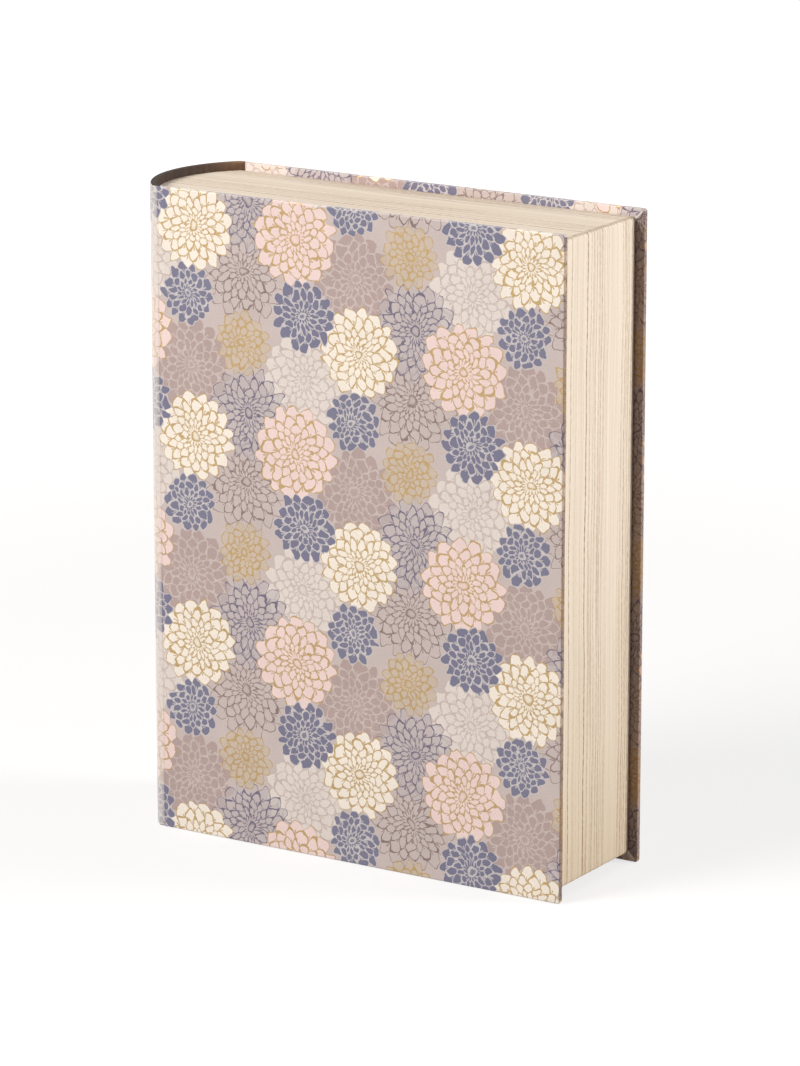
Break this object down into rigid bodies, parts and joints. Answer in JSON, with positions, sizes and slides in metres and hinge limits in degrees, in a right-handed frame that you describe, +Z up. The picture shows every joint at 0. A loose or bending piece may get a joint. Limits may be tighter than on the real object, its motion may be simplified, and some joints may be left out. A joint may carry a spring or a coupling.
{
  "type": "book box",
  "caption": "Keepsake box in the shape of a standing book, with a round spine and a front cover that opens on a paper hinge over a lined tray.",
  "frame": {"origin": "middle of the floor area under the standing box, at the tail edges of its covers", "axes": "+Z up from tail to head, +X from the spine to the fore-edge, +Y from the front cover to the back cover"},
  "size_m": [0.2036, 0.064, 0.267],
  "materials": {
    "printed_paper": "matt coated paper with a floral allover print, gold lines slightly metallic",
    "lining_paper": "plain matt dark brown lining paper",
    "page_edge_paper": "cream paper printed and creased with thin brown lines like the edges of pages",
    "greyboard": "raw grey bookbinding board, hidden under the papers",
    "magnet_nickel": "nickel-plated bar magnet",
    "keeper_steel": "thin plain steel plate"
  },
  "bodies": {
    "box": {"back_board": "greyboard", "back_cover_paper": "printed_paper", "spine_board": "greyboard", "spine_paper": "printed_paper", "spine_lining": "lining_paper", "tray_base_board": "greyboard", "head_wall_board": "greyboard", "tail_wall_board": "greyboard", "fore_edge_wall_board": "greyboard", "spine_wall_board": "greyboard", "head_spine_cap": "greyboard", "tail_spine_cap": "greyboard", "page_edge_paper": "page_edge_paper", "tray_wall_lining": "lining_paper", "tray_floor_lining": "lining_paper", "hinge_strip": "lining_paper", "closure_magnets": "magnet_nickel"},
    "front_cover": {"front_board": "greyboard", "front_cover_paper": "printed_paper", "front_lining": "lining_paper", "keeper_plates": "keeper_steel"}
  },
  "joints": [
    {"name": "front_cover_hinge", "type": "hinge", "parent": "box", "child": "front_cover", "pos_m": [-0.08575, -0.0318, 0.1335], "axis": [0, 0, -1], "range_deg": [0, 180]}
  ]
}
